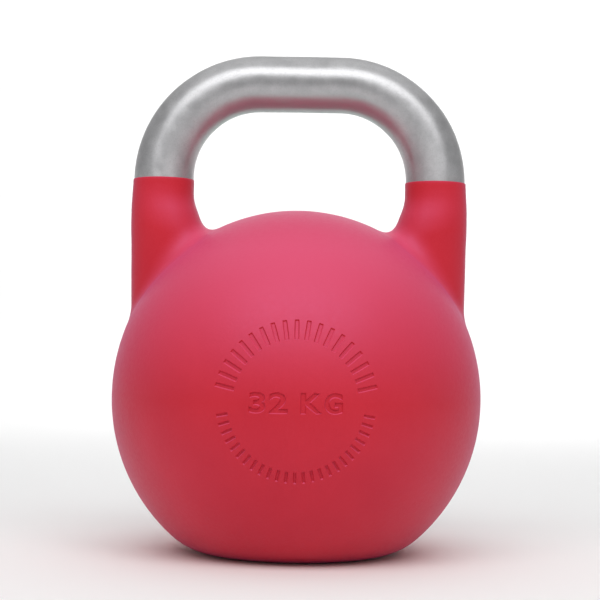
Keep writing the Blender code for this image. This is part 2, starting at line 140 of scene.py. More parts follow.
# The plug
PLUG_CHAMFER = 0.8 * MM
PLUG_SEGMENTS = 128
GROOVE_HALF = 1.4 * MM  # half the width of the seal's groove
GROOVE_DEPTH = 2.5 * MM
SCREW_HOLE_RADIUS = 4.3 * MM
SCREW_HOLE_DEPTH = 8.3 * MM
DISH_RADIUS = 9 * MM
DISH_DEPTH = 0.6 * MM
SPANNER_FLARE = 0.5 * MM
SPANNER_SEGMENTS = 40
SHARP_ANGLE = math.radians(28)

# Camera and light
CAMERA_DISTANCE = 880 * MM
CAMERA_LIFT = 28.5 * MM  # above the ball's middle
CAMERA_ASIDE = 1.3 * MM
CAMERA_TILT = 1.8  # degrees up
CAMERA_ROLL = 0.9  # degrees; it shows the object leaning this much to the right
CAMERA_LENS = 92.0
FLOOR_COLOUR = (0.90, 0.90, 0.90)
ROOM_STRENGTH = 0.36
# Each light: name, place, the point that it faces, size, watts
LIGHTS = (
    ("key", (0.0, -0.92, 1.24), (0.0, 0.0, 0.14), (2.0, 0.8), 16),
    ("top", (0.0, 0.35, 1.70), (0.0, 0.1, 0.0), (2.4, 1.6), 6),
    ("backdrop_wash", (0.2, 1.4, 1.5), (0.1, 2.4, 0.35), (2.0, 0.3), 18),
)


def smoothstep(value):
    """0 to 1 with soft ends, for an array."""
    value = np.clip(value, 0, 1)
    return value * value * (3 - 2 * value)


def spline(x, xs, ys):
    """A smooth curve through a few rows, as an array: cubic between rows with matched slopes."""
    slopes = np.gradient(ys, xs)
    index = np.clip(np.searchsorted(xs, x) - 1, 0, len(xs) - 2)
    width = xs[index + 1] - xs[index]
    t = np.clip((x - xs[index]) / width, 0, 1)
    low, high = ys[index], ys[index + 1]
    return (
        (2 * t**3 - 3 * t**2 + 1) * low
        + (t**3 - 2 * t**2 + t) * width * slopes[index]
        + (3 * t**2 - 2 * t**3) * high
        + (t**3 - t**2) * width * slopes[index + 1]
    )


def base_edge():
    """The rounded base edge: its centre's radius, and where it meets the sphere, as an angle."""
    rise = BALL_Z - BASE_EDGE_RADIUS
    centre = math.sqrt((BALL_RADIUS - BASE_EDGE_RADIUS) ** 2 - rise**2)
    return centre, math.atan2(rise, centre)


def ball_distance(points):
    """Signed distance to the ball: half an ellipsoid over a sphere, a rounded edge, a flat base."""
    radius = np.hypot(points[:, 0], points[:, 1])
    height = points[:, 2] - BALL_Z
    stretch = np.where(height > 0, CROWN_RISE / BALL_RADIUS, 1)
    sphere = np.hypot(radius, height / stretch) - BALL_RADIUS
    centre, tangent = base_edge()
    across = radius - centre
    below = BASE_EDGE_RADIUS - points[:, 2]
    in_edge = (across > 0) & (np.arctan2(below, across) > tangent)
    edge = np.hypot(across, below) - BASE_EDGE_RADIUS
    result = np.where(in_edge, edge, sphere)
    over_base = (across <= 0) & (below > 0)
    return np.where(over_base, np.maximum(sphere, -points[:, 2]), result)


def horn_section(height):
    """Centre, half-width and half-depth of a horn at each height."""
    drop = SHOULDER_Z - height
    inward = spline(drop, HORN_DROPS, HORN_INWARD)
    outward = spline(drop, HORN_DROPS, HORN_OUTWARD)
    depth = spline(drop, HORN_DROPS, HORN_DEPTH)
    return POST_X + (outward - inward) / 2, (outward + inward) / 2, depth


def horn_distance(points):
    """Distance to the nearer horn, an oval column whose foot is inside the ball."""
    centre, half_width, half_depth = horn_section(points[:, 2])
    across = (np.abs(points[:, 0]) - centre) / half_width
    share = np.hypot(across, points[:, 1] / half_depth)
    side = (share - 1) * np.minimum(half_width, half_depth)
    return np.maximum(side, HORN_BOTTOM - points[:, 2])


def skin_distance(points):
    """The ball and horns with a fillet between them, sharper where they meet low on the side."""
    ball = ball_distance(points)
    horns = horn_distance(points)
    high = smoothstep((points[:, 2] - FILLET_LOW_Z) / (FILLET_HIGH_Z - FILLET_LOW_Z))
    reach = FILLET_LOW + (FILLET_HIGH - FILLET_LOW) * high
    overlap = np.maximum(reach - np.abs(ball - horns), 0) / reach
    return np.minimum(ball, horns) - overlap**2 * reach / 4 + INSET


def gradient(points):
    """The skin's outward direction at each point."""
    slopes = []
    for axis in range(3):
        offset = np.zeros(3)
        offset[axis] = GRADIENT_STEP
        slopes.append(skin_distance(points + offset) - skin_distance(points - offset))
    return np.stack(slopes, axis=1) / (2 * GRADIENT_STEP)


def pull_onto_skin(points):
    """Move points along the field's slope until they lie on the skin."""
    for _ in range(PROJECT_STEPS):
        slope = gradient(points)
        square = np.maximum((slope**2).sum(axis=1), 1e-6)
        points = points - slope * (skin_distance(points) / square)[:, None]
    return points


def get_points(mesh):
    """A mesh's vertices as an array."""
    flat = np.empty(len(mesh.vertices) * 3, dtype=np.float32)
    mesh.vertices.foreach_get("co", flat)
    return flat.reshape(-1, 3).astype(np.float64)


def set_points(mesh, points):
    """Write an array back to a mesh's vertices."""
    mesh.vertices.foreach_set("co", points.astype(np.float32).ravel())
    mesh.update()


def new_piece(name, bm, material):
    """A smooth-shaded object from a bmesh, which it frees."""
    mesh = bpy.data.meshes.new(name)
    bm.to_mesh(mesh)
    bm.free()
    mesh.materials.append(material)
    obj = bpy.data.objects.new(name, mesh)
    bpy.context.scene.collection.objects.link(obj)
    mesh.shade_smooth()
    return obj


def settled(obj):
    """The object's mesh with its modifiers applied. The object is removed."""
    depsgraph = bpy.context.evaluated_depsgraph_get()
    mesh = bpy.data.meshes.new_from_object(obj.evaluated_get(depsgraph))
    bpy.data.objects.remove(obj, do_unlink=True)
    return mesh


def cut_piece(name, body, cutters, material):
    """A closed piece from a body with every cutter taken out of it. Body and cutters are removed."""
    for cutter in cutters:
        cut = body.modifiers.new(cutter.name, "BOOLEAN")
        cut.operation = "DIFFERENCE"
        cut.object = cutter
    mesh = settled(body)
    if not mesh.polygons:
        raise RuntimeError(f"{name} came out empty: a cutter's outline crosses itself")
    for cutter in cutters:
        bpy.data.objects.remove(cutter, do_unlink=True)
    bm = bmesh.new()
    bm.from_mesh(mesh)
    bpy.data.meshes.remove(mesh)
    piece = new_piece(name, bm, material)
    piece.data.set_sharp_from_angle(angle=SHARP_ANGLE)
    return piece


def rough_body():
    """The ball and two posts as one voxel mesh, roughly on the skin."""
    bm = bmesh.new()
    bmesh.ops.create_icosphere(
        bm,
        subdivisions=5,
        radius=BALL_RADIUS,
        matrix=Matrix.Translation((0, 0, BALL_Z)),
    )
    for vert in bm.verts:
        if vert.co.z > BALL_Z:
            vert.co.z = BALL_Z + (vert.co.z - BALL_Z) * CROWN_RISE / BALL_RADIUS
        vert.co.z = max(vert.co.z, 0)
    top = SHOULDER_Z + ROUGH_POST_RISE
    for side in (-1, 1):
        bmesh.ops.create_cone(
            bm,
            cap_ends=True,
            segments=48,
            radius1=ROUGH_POST_RADII[0],
            radius2=ROUGH_POST_RADII[1],
            depth=top - HORN_BOTTOM,
            matrix=Matrix.Translation((side * POST_X, 0, (top + HORN_BOTTOM) / 2)),
        )
    mesh = bpy.data.meshes.new("rough")
    bm.to_mesh(mesh)
    bm.free()
    obj = bpy.data.objects.new("rough", mesh)
    bpy.context.scene.collection.objects.link(obj)
    remesh = obj.modifiers.new("voxels", "REMESH")
    remesh.mode = "VOXEL"
    remesh.voxel_size = VOXEL
    return settled(obj)


def loops_of(bm):
    """The open edges of a mesh as rings of vertices in order."""
    border = {edge for edge in bm.edges if edge.is_boundary}
    loops = []
    while border:
        edge = border.pop()
        first, here = edge.verts
        ring = [first, here]
        while True:
            following = next((e for e in here.link_edges if e in border), None)
            if following is None:
                break
            border.remove(following)
            here = following.other_vert(here)
            if here is first:
                break
            ring.append(here)
        loops.append(ring)
    return loops


def ring_on(bm, ring, place):
    """A new ring joined to an old one by quads. place gives the new point for an old one."""
    new = [bm.verts.new(place(vert.co)) for vert in ring]
    for step, vert in enumerate(ring):
        following = (step + 1) % len(ring)
        bm.faces.new((vert, ring[following], new[following], new[step]))
    return new


def oval_place(centre_x, half_width, half_depth, height):
    """A rule that moves a point to an oval ring, keeping its bearing from the ring's centre."""

    def place(point):
        bearing = math.atan2(point.y, point.x - centre_x)
        return (
            centre_x + half_width * math.cos(bearing),
            half_depth * math.sin(bearing),
            height,
        )

    return place


def close_horn(bm, ring):
    """Build a horn's collar, its paint lip and the socket for the tenon."""
    side = 1 if ring[0].co.x > 0 else -1
    rows = []
    for share in (0.3, 0.65, 1.0):
        height = COLLAR_Z + (PAINT_TOP - PAINT_LIP - COLLAR_Z) * share
        centre, width, depth = (float(value[0]) for value in horn_section(np.array([height])))
        rows.append((centre, width, depth, height))
    centre, width, depth, height = rows[-1]
    for step in range(1, 4):
        angle = math.pi / 2 * step / 3
        shrink = PAINT_LIP * (1 - math.cos(angle))
        height_here = height + PAINT_LIP * math.sin(angle)
        rows.append((centre, width - shrink, depth - shrink, height_here))
    inner = POST_RADIUS - 0.05 * MM
    socket = TENON_RADIUS + GAP
    rows.append((POST_X, inner, inner, PAINT_TOP))
    rows.append((POST_X, inner, inner, SHOULDER_Z - GAP))
    rows.append((POST_X, socket, socket, SHOULDER_Z - GAP))
    rows.append((POST_X, socket, socket, TENON_FOOT - GAP))
    for centre, width, depth, height in rows:
        ring = ring_on(bm, ring, oval_place(side * centre, width, depth, height))
    bm.faces.new(ring)


def close_base(bm, ring):
    """Build the base's hole for the plug, and the hollow above it."""
    rows = [
        (BASE_INNER_RING, INSET),
        (COUNTERBORE_RADIUS + HOLE_CHAMFER, INSET),
        (COUNTERBORE_RADIUS, HOLE_CHAMFER),
        (COUNTERBORE_RADIUS, COUNTERBORE_DEPTH),
        (HOLE_RADIUS, COUNTERBORE_DEPTH),
        (HOLE_RADIUS, FLOOR),
    ]
    hollow = BALL_RADIUS - WALL
    floor_angle = -math.asin((BALL_Z - FLOOR) / hollow)
    for step in range(HOLLOW_STEPS):
        angle = floor_angle + (math.pi / 2 - floor_angle) * step / HOLLOW_STEPS
        rise = CROWN_RISE - WALL if angle > 0 else hollow
        rows.append((hollow * math.cos(angle), BALL_Z + rise * math.sin(angle)))
    for radius, height in rows:
        ring = ring_on(bm, ring, oval_place(0, radius, radius, height))
    bm.faces.new(ring)


def trim_openings(bm):
    """Cut the horns' tops and the base's middle off, and build them again of true rings."""
    bmesh.ops.bisect_plane(
        bm,
        geom=bm.verts[:] + bm.edges[:] + bm.faces[:],
        dist=0.25 * MM,
        plane_co=(0, 0, COLLAR_Z),
        plane_no=(0, 0, 1),
        clear_outer=True,
    )
    middle = []
    for face in bm.faces:
        if all(v.co.z < 0.05 * MM and v.co.xy.length < BASE_RING for v in face.verts):
            middle.append(face)
    bmesh.ops.delete(bm, geom=middle, context="FACES")
    for ring in loops_of(bm):
        if ring[0].co.z > BALL_Z:
            close_horn(bm, ring)
        else:
            for vert in ring:
                vert.co.xy = vert.co.xy.normalized() * BASE_RING
            close_base(bm, ring)
    bmesh.ops.triangulate(bm, faces=bm.faces[:])
    bmesh.ops.recalc_face_normals(bm, faces=bm.faces[:])


def onto_front(x, z):
    """A frame on the skin in front of a point of the marks' plane: X right, Y up, Z outwards."""
    guess = np.array([[x, -math.sqrt(BALL_RADIUS**2 - x**2 - z**2), BALL_Z + z]])
    point = pull_onto_skin(guess)
    out = Vector(gradient(point)[0]).normalized()
    right = Vector((0, 0, 1)).cross(out).normalized()
    up = out.cross(right)
    turn = Matrix((right, up, out)).transposed().to_4x4()
    return Matrix.Translation(Vector(point[0])) @ turn


def tapered(bm, outline, place):
    """A closed cutter that narrows inwards: full size at the surface, smaller at its floor."""
    levels = ((MARK_ABOVE, 0), (0, 0), (-MARK_DEPTH, MARK_SLOPE))
    rings = []
    for height, inset in levels:
        ring = [bm.verts.new(place @ Vector((x, y, height))) for x, y in outline(inset)]
        rings.append(ring)
    for upper, lower in zip(rings, rings[1:]):
        for step, vert in enumerate(upper):
            following = (step + 1) % len(upper)
            bm.faces.new((vert, lower[step], lower[following], upper[following]))
    bm.faces.new(rings[0])
    bm.faces.new(reversed(rings[-1]))


def bar_outline(length, width):
    """A rule that gives a rounded bar's corners at an inset from its full size."""

    def outline(inset):
        half_x, half_y = length / 2 - inset, width / 2 - inset
        radius = min(BAR_ROUND, half_x, half_y) * 0.9
        points = []
        for quarter in range(4):
            across = (1, -1, -1, 1)[quarter]
            along = (1, 1, -1, -1)[quarter]
            for step in range(4):
                angle = math.pi / 2 * (quarter + step / 3)
                x = across * (half_x - radius) + radius * math.cos(angle)
                y = along * (half_y - radius) + radius * math.sin(angle)
                points.append((x, y))
        return points

    return outline


def bar_cutters():
    """The plain bars of both arcs as one bmesh of separate tapered cutters."""
    bm = bmesh.new()
    for first, last, inner, outer, width, count in BAR_ARCS:
        outline = bar_outline(outer - inner, width)
        for step in range(count):
            angle = math.radians(first + (last - first) * step / (count - 1))
            middle = (inner + outer) / 2
            place = onto_front(middle * math.cos(angle), middle * math.sin(angle) + MARKS_RISE)
            tapered(bm, outline, place @ Matrix.Rotation(angle, 4, "Z"))
    bmesh.ops.recalc_face_normals(bm, faces=bm.faces[:])
    return bm


def side_normals(points):
    """The outward directions of the sides after and before each point of an outline."""
    sides = np.roll(points, -1, axis=0) - points
    sides /= np.hypot(*sides.T)[:, None]
    after = np.stack([sides[:, 1], -sides[:, 0]], axis=1)
    return after, np.roll(after, 1, axis=0)


def outer_corners(points):
    """Which points of an anticlockwise outline are sharp outer corners."""
    after, before = side_normals(points)
    return before[:, 0] * after[:, 1] - before[:, 1] * after[:, 0] > SHARP_TURN


def moved_out(points, distance):
    """A closed outline, (n, 2) and anticlockwise, with every side moved outwards."""
    after, before = side_normals(points)
    least = np.where(outer_corners(points), 0.6, 0.1)  # blunts sharp outer corners
    spread = np.maximum(1 + (after * before).sum(axis=1), least)
    return points + (after + before) / spread[:, None] * distance


def clear_of(points, outline, distance):
    """Which points keep at least a distance from a closed outline."""
    nearest = np.full(len(points), np.inf)
    for start, end in zip(outline, np.roll(outline, -1, axis=0)):
        along = end - start
        share = np.clip(((points - start) @ along) / (along @ along), 0, 1)
        nearest = np.minimum(nearest, np.hypot(*(points - start - share[:, None] * along).T))
    return nearest >= distance


def letter_outline(letter, width, height):
    """A rule that gives a letter's outline at an inset from its full size. It has no inner loop."""
    curve = bpy.data.curves.new("letter", "FONT")
    curve.body = letter
    curve.fill_mode = "NONE"
    curve.resolution_u = 6
    obj = bpy.data.objects.new("letter", curve)
    bpy.context.scene.collection.objects.link(obj)
    mesh = settled(obj)
    points = get_points(mesh)[:, :2]
    bpy.data.meshes.remove(mesh)
    gaps = np.hypot(*(points - np.roll(points, 1, axis=0)).T)
    points = points[gaps > 1e-4]
    low, high = points.min(axis=0), points.max(axis=0)
    size = np.array([width, height]) - 2 * LETTER_BOLD
    points = (points - (low + high) / 2) * size / (high - low)
    following = np.roll(points, -1, axis=0)
    if (points[:, 0] * following[:, 1] - points[:, 1] * following[:, 0]).sum() < 0:
        points = points[::-1]
    for _ in range(LETTER_PRUNES):
        clear = clear_of(moved_out(points, LETTER_BOLD), points, 0.97 * LETTER_BOLD)
        points = points[clear | outer_corners(points)]
    return lambda inset: moved_out(points, LETTER_BOLD - inset)


def letter_cutters():
    """The mass as one bmesh of tapered letters, each laid on the ball's surface."""
    bm = bmesh.new()
    for letter, low, high in LETTERS:
        outline = letter_outline(letter, high - low, TEXT_HEIGHT)
        tapered(bm, outline, onto_front((low + high) / 2, MARKS_RISE))
    bmesh.ops.recalc_face_normals(bm, faces=bm.faces[:])
    return bm


def painted_skin(material):
    """The ball and horns as one closed shell, with sockets, a plug hole and the sunk marks."""
    mesh = rough_body()
    set_points(mesh, pull_onto_skin(get_points(mesh)))
    bm = bmesh.new()
    bm.from_mesh(mesh)
    bpy.data.meshes.remove(mesh)
    trim_openings(bm)
    body = new_piece("skin_body", bm, material)
    bars = new_piece("bars", bar_cutters(), material)
    letters = new_piece("letters", letter_cutters(), material)
    return cut_piece("painted_skin", body, (bars, letters), material)


def handle_point(length):
    """The bar's centreline at a length from its middle: (x, z) and its direction."""
    corner_x = POST_X - CORNER_RADIUS
    side = -1 if length < 0 else 1
    length = abs(length)
    arc = CORNER_RADIUS * math.pi / 2
    if length <= corner_x:
        return (side * length, GRIP_Z), (1, 0)
    if length <= corner_x + arc:
        angle = (length - corner_x) / CORNER_RADIUS
        x = corner_x + CORNER_RADIUS * math.sin(angle)
        z = GRIP_Z - CORNER_RADIUS * (1 - math.cos(angle))
        return (side * x, z), (math.cos(angle), -side * math.sin(angle))
    z = GRIP_Z - CORNER_RADIUS - (length - corner_x - arc)
    return (side * POST_X, z), (0, -side)


def handle_strays(length, bearing):
    """How far the hand-ground bar stands off true round, at a length along it and a bearing."""
    slow = math.sin(length / (6 * MM) + 1.3 * math.sin(bearing + 0.6))
    cross = math.sin(3 * bearing + length / (12 * MM) + 0.8) * math.sin(length / (17 * MM) + 2.1)
    flat = math.sin(6 * bearing - length / (15 * MM)) * 0.5
    return HAND_GROUND * ((0.4 * slow + 0.6 * cross + flat) / 1.5 - 1)


def handle(material):
    """The bar as rings along its centreline, with a reduced tenon at each end."""
    half = POST_X - CORNER_RADIUS + CORNER_RADIUS * math.pi / 2
    half += GRIP_Z - CORNER_RADIUS - SHOULDER_Z
    count = math.ceil(2 * half / RING_STEP)
    bm = bmesh.new()
    uv = bm.loops.layers.uv.new("along")
    rings = []

    def add_ring(centre, direction, radius, length, strays):
        across = (-direction[1], direction[0])
        ring = []
        for step in range(AROUND):
            bearing = math.tau * step / AROUND
            reach = radius + (handle_strays(length, bearing) if strays else 0)
            out = reach * math.cos(bearing)
            x = centre[0] + across[0] * out
            z = centre[1] + across[1] * out
            ring.append(bm.verts.new((x, -reach * math.sin(bearing), z)))
        rings.append((ring, length))

    def add_tenon(side):
        rows = [
            (TENON_RADIUS, SHOULDER_Z),
            (TENON_RADIUS, TENON_FOOT + MM),
            (TENON_RADIUS - MM, TENON_FOOT),
        ]
        if side < 0:
            rows.reverse()
        for radius, height in rows:
            length = side * (half + SHOULDER_Z - height)
            add_ring((side * POST_X, height), (0, -side), radius, length, False)

    add_tenon(-1)
    for step in range(count + 1):
        length = half * (2 * step / count - 1)
        centre, direction = handle_point(length)
        share = abs(length / half)
        radius = GRIP_RADIUS + (POST_RADIUS - GRIP_RADIUS) * share**2
        add_ring(centre, direction, radius, length, True)
    add_tenon(1)

    for (lower, start), (upper, end) in zip(rings, rings[1:]):
        for step in range(AROUND):
            following = (step + 1) % AROUND
            face = bm.faces.new((lower[step], upper[step], upper[following], lower[following]))
            spans = ((start, step), (end, step), (end, step + 1), (start, step + 1))
            for loop, (along, turn) in zip(face.loops, spans):
                loop[uv].uv = (along, GRIP_RADIUS * math.tau * turn / AROUND)
    bm.faces.new(rings[0][0])
    bm.faces.new(rings[-1][0])
    bmesh.ops.recalc_face_normals(bm, faces=bm.faces[:])
    piece = new_piece("handle", bm, material)
    piece.data.set_sharp_from_angle(angle=math.radians(50))
    return piece


class Shader:
    """A Principled material and short ways to add nodes to it."""

    def __init__(self, name, colour, roughness, metallic=0.0):
        self.material = bpy.data.materials.new(name)
        self.material.use_nodes = True
        self.material.diffuse_color = (*colour, 1)
        self.tree = self.material.node_tree
        self.bsdf = self.tree.nodes["Principled BSDF"]
        self.set("Base Color", (*colour, 1))
        self.set("Roughness", roughness)
        self.set("Metallic", metallic)

    def set(self, socket, value):
        """Set one of the shader's own sockets."""
        self.bsdf.inputs[socket].default_value = value

    def link(self, output, socket):
        """Link an output to a socket of the shader, by name, or to any other socket."""
        if isinstance(socket, str):
            socket = self.bsdf.inputs[socket]
        self.tree.links.new(output, socket)

    def place(self, stretch=(1, 1, 1), source="Object", turn=(0, 0, 0)):
        """Texture coordinates in metres, stretched along their axes."""
        coordinates = self.tree.nodes.new("ShaderNodeTexCoord")
        mapping = self.tree.nodes.new("ShaderNodeMapping")
        mapping.inputs["Scale"].default_value = stretch
        mapping.inputs["Rotation"].default_value = turn
        self.link(coordinates.outputs[source], mapping.inputs["Vector"])
        return mapping.outputs["Vector"]

    def facing_up(self):
        """The upward part of the surface's direction: 1 where it faces up, -1 where it faces down."""
        split = self.tree.nodes.new("ShaderNodeSeparateXYZ")
        coordinates = self.tree.nodes.new("ShaderNodeTexCoord")
        self.link(coordinates.outputs["Normal"], split.inputs["Vector"])
        return split.outputs["Z"]

    def noise(self, place, size, detail=3.0, roughness=0.5, distortion=0.0):
        """Noise with features of about a size in metres."""
        node = self.tree.nodes.new("ShaderNodeTexNoise")
        node.inputs["Scale"].default_value = 1 / size
        node.inputs["Detail"].default_value = detail
        node.inputs["Roughness"].default_value = roughness
        node.inputs["Distortion"].default_value = distortion
        self.link(place, node.inputs["Vector"])
        return node.outputs["Fac"]

    def cells(self, place, size, randomness=1.0):
        """Distance to scattered cell centres, with cells of about a size in metres."""
        node = self.tree.nodes.new("ShaderNodeTexVoronoi")
        node.inputs["Scale"].default_value = 1 / size
        node.inputs["Randomness"].default_value = randomness
        self.link(place, node.inputs["Vector"])
        return node.outputs["Distance"]

    def spread(self, value, low, high, to_low, to_high):
        """Map a value from one range to another, clamped."""
        node = self.tree.nodes.new("ShaderNodeMapRange")
        node.inputs["From Min"].default_value = low
        node.inputs["From Max"].default_value = high
        node.inputs["To Min"].default_value = to_low
        node.inputs["To Max"].default_value = to_high
        self.link(value, node.inputs["Value"])
        return node.outputs["Result"]

    def maths(self, operation, first, second):
        """One arithmetic step between two values, either of which may be a number."""
        node = self.tree.nodes.new("ShaderNodeMath")
        node.operation = operation
        for socket, value in zip(node.inputs, (first, second)):
            if isinstance(value, (int, float)):
                socket.default_value = value
            else:
                self.link(value, socket)
        return node.outputs["Value"]

    def ramp(self, value, *stops):
        """A colour ramp through (position, colour) stops."""
        node = self.tree.nodes.new("ShaderNodeValToRGB")
        elements = node.color_ramp.elements
        while len(elements) < len(stops):
            elements.new(0.5)
        for element, (position, colour) in zip(elements, stops):
            element.position = position
            element.color = (*colour, 1)
        self.link(value, node.inputs["Fac"])
        return node.outputs["Color"]

    def mix(self, share, first, second):
        """A mix of two colours, either of which may be a plain (r, g, b)."""
        node = self.tree.nodes.new("ShaderNodeMix")
        node.data_type = "RGBA"
        self.link(share, node.inputs["Factor"])
        for name, value in (("A", first), ("B", second)):
            socket = next(s for s in node.inputs if s.name == name and s.type == "RGBA")
            if isinstance(value, tuple):
                socket.default_value = (*value, 1)
            else:
                self.link(value, socket)
        return next(s for s in node.outputs if s.type == "RGBA")

    def bump(self, *layers):
        """Stack bumps of (height, depth in metres) and link them to the shader's normal."""
        normal = None
        for height, depth in layers:
            node = self.tree.nodes.new("ShaderNodeBump")
            node.inputs["Strength"].default_value = 1.0
            node.inputs["Distance"].default_value = depth
            self.link(height, node.inputs["Height"])
            if normal:
                self.link(normal, node.inputs["Normal"])
            normal = node.outputs["Normal"]
        self.link(normal, "Normal")


def powder_coat():
    """Satin crimson powder coat: fine orange peel, faint mottling, and painted top light: a paler,
    bluer pink where it faces up.
    """
    shader = Shader("powder_coat", (0.585, 0.016, 0.018), 0.48)
    place = shader.place()
    drift = shader.noise(place, 38 * MM, 2)
    grain = shader.noise(place, 0.9 * MM, 2)
    colour = shader.ramp(
        drift,
        (0.30, (0.565, 0.014, 0.016)),
        (0.52, (0.585, 0.016, 0.018)),
        (0.72, (0.605, 0.018, 0.021)),
    )
    fleck = shader.spread(grain, 0.35, 0.68, 0.0, 0.16)
    colour = shader.mix(fleck, colour, (0.64, 0.034, 0.040))
    # Painted top light: the coat turns paler and bluer where it faces up, standing in for the overhead
    # light's sheen.
    painted_top_light = shader.spread(shader.facing_up(), 0.0, 0.75, 0.0, 1.0)
    shader.link(shader.mix(painted_top_light, colour, (0.70, 0.068, 0.140)), "Base Color")
    shader.link(shader.spread(shader.noise(place, 2.2 * MM, 3), 0.3, 0.7, 0.44, 0.52), "Roughness")
    nibs = shader.spread(shader.cells(place, 3.2 * MM), 0.0, 0.10, 1.0, 0.0)
    peel = shader.noise(place, 1.5 * MM, 2, 0.45)
    shader.bump((peel, 0.060 * MM), (grain, 0.020 * MM), (nibs, 0.006 * MM))
    shader.set("Specular IOR Level", 0.5)
    shader.set("Specular Tint", (0.55, 0.50, 1.0, 1))
    shader.set("Sheen Weight", 0.12)
    shader.set("Sheen Roughness", 0.5)
    shader.set("Sheen Tint", (0.45, 0.30, 1.0, 1))
    return shader.material


def linished_steel():
    """Bare steel finished by belt: fine lines around the bar, cloudy patches and small pits.

    The cooler tone where it faces down offsets part of the red that the ball throws up at it.
    """
    shader = Shader("linished_steel", (0.48, 0.48, 0.49), 0.38, 0.8)
    around = shader.place((1, 0.1, 1), "UV")
    place = shader.place()
    lines = shader.noise(around, 0.35 * MM, 3, 0.6)
    coarse_lines = shader.noise(around, 1.3 * MM, 2, 0.5)
    clouds = shader.noise(place, 9 * MM, 4, 0.6)
    speckle = shader.noise(place, 0.8 * MM, 2, 0.6)
    pits = shader.spread(shader.cells(place, 2.6 * MM), 0.02, 0.10, 1.0, 0.0)
    tone = shader.ramp(
        clouds,
        (0.30, (0.42, 0.42, 0.43)),
        (0.50, (0.48, 0.48, 0.49)),
        (0.72, (0.54, 0.54, 0.55)),
    )
    dark = shader.spread(speckle, 0.50, 0.76, 0.0, 0.35)
    tone = shader.mix(dark, tone, (0.34, 0.33, 0.33))
    tone = shader.mix(shader.maths("MULTIPLY", pits, 0.35), tone, (0.22, 0.21, 0.21))
    # Painted counter-reflection: a cooler, greener tone where the bar faces down, offsetting the red
    # light that the ball throws up at it.
    below = shader.spread(shader.facing_up(), -0.30, -0.80, 0.0, 1.0)
    shader.link(shader.mix(below, tone, (0.39, 0.47, 0.455)), "Base Color")
    rough = shader.spread(clouds, 0.3, 0.7, 0.38, 0.48)
    rough = shader.maths("ADD", rough, shader.spread(speckle, 0.3, 0.7, -0.04, 0.06))
    shader.link(rough, "Roughness")
    shader.bump(
        (coarse_lines, 0.012 * MM),
        (lines, 0.006 * MM),
        (speckle, 0.030 * MM),
        (pits, -0.01 * MM),
    )
    tangent = shader.tree.nodes.new("ShaderNodeTangent")
    tangent.direction_type = "UV_MAP"
    tangent.uv_map = "along"
    shader.link(tangent.outputs["Tangent"], "Tangent")
    shader.set("Anisotropic", 0.6)
    return shader.material


def turned_zinc():
    """Zinc-plated steel with the fine rings of a lathe and a slightly yellow, cloudy passivation."""
    shader = Shader("turned_zinc", (0.60, 0.60, 0.57), 0.36, 1.0)
    place = shader.place()
    rings = shader.tree.nodes.new("ShaderNodeTexWave")
    rings.wave_type = "RINGS"
    rings.rings_direction = "Z"
    rings.inputs["Scale"].default_value = 1 / (2.4 * MM)
    rings.inputs["Distortion"].default_value = 0.4
    shader.link(place, rings.inputs["Vector"])
    clouds = shader.noise(place, 6 * MM, 4, 0.6)
    tone = shader.ramp(
        clouds,
        (0.3, (0.56, 0.55, 0.50)),
        (0.5, (0.62, 0.61, 0.58)),
        (0.7, (0.60, 0.62, 0.63)),
    )
    scuffs = shader.spread(shader.noise(place, 1.6 * MM, 5, 0.7, 1.5), 0.56, 0.66, 0.0, 0.5)
    shader.link(shader.mix(scuffs, tone, (0.36, 0.35, 0.33)), "Base Color")
    shader.link(shader.spread(clouds, 0.3, 0.7, 0.30, 0.46), "Roughness")
    shader.bump((rings.outputs["Fac"], 0.010 * MM), (clouds, 0.01 * MM))
    return shader.material


def ground_steel(name, tone, rough):
    """Ground or sawn steel for the inner pieces: cloudy grey with fine scratches."""
    shader = Shader(name, (tone, tone, tone), rough, 1.0)
    place = shader.place()
    scratches = shader.noise(shader.place((1, 0.12, 1)), 0.5 * MM, 3)
    clouds = shader.noise(place, 5 * MM, 4, 0.6)
    light, dark = tone * 1.1, tone * 0.8
    colour = shader.ramp(clouds, (0.3, (dark, dark, dark * 1.02)), (0.7, (light, light, light)))
    shader.link(colour, "Base Color")
    shader.link(shader.spread(scratches, 0.3, 0.7, rough - 0.06, rough + 0.08), "Roughness")
    shader.bump((scratches, 0.008 * MM))
    return shader.material


def black_oxide():
    """Black oxide on the trim screw, with a faint brown bloom."""
    shader = Shader("black_oxide", (0.045, 0.045, 0.050), 0.42, 0.8)
    place = shader.place()
    bloom = shader.noise(place, 2.5 * MM, 4, 0.6)
    colour = shader.ramp(bloom, (0.35, (0.035, 0.036, 0.042)), (0.7, (0.075, 0.062, 0.052)))
    shader.link(colour, "Base Color")
    shader.link(shader.spread(bloom, 0.3, 0.7, 0.36, 0.52), "Roughness")
    shader.bump((shader.noise(place, 0.4 * MM, 2), 0.006 * MM))
    return shader.material


def shot_in_resin():
    """Steel shot packed in dark resin: bright grains of about a millimetre in a duller matrix."""
    shader = Shader("shot_in_resin", (0.14, 0.14, 0.15), 0.5, 0.5)
    place = shader.place()
    grains = shader.cells(place, 1.6 * MM, 0.8)
    steel = shader.spread(grains, 0.28, 0.40, 1.0, 0.0)
    patches = shader.noise(place, 12 * MM, 3)
    resin = shader.ramp(patches, (0.3, (0.020, 0.020, 0.022)), (0.7, (0.045, 0.042, 0.040)))
    shader.link(shader.mix(steel, resin, (0.38, 0.38, 0.40)), "Base Color")
    shader.link(shader.spread(steel, 0, 1, 0.0, 0.95), "Metallic")
    shader.link(shader.spread(steel, 0, 1, 0.62, 0.32), "Roughness")
    shader.bump((shader.spread(grains, 0.0, 0.5, 1.0, 0.0), 0.35 * MM))
    return shader.material


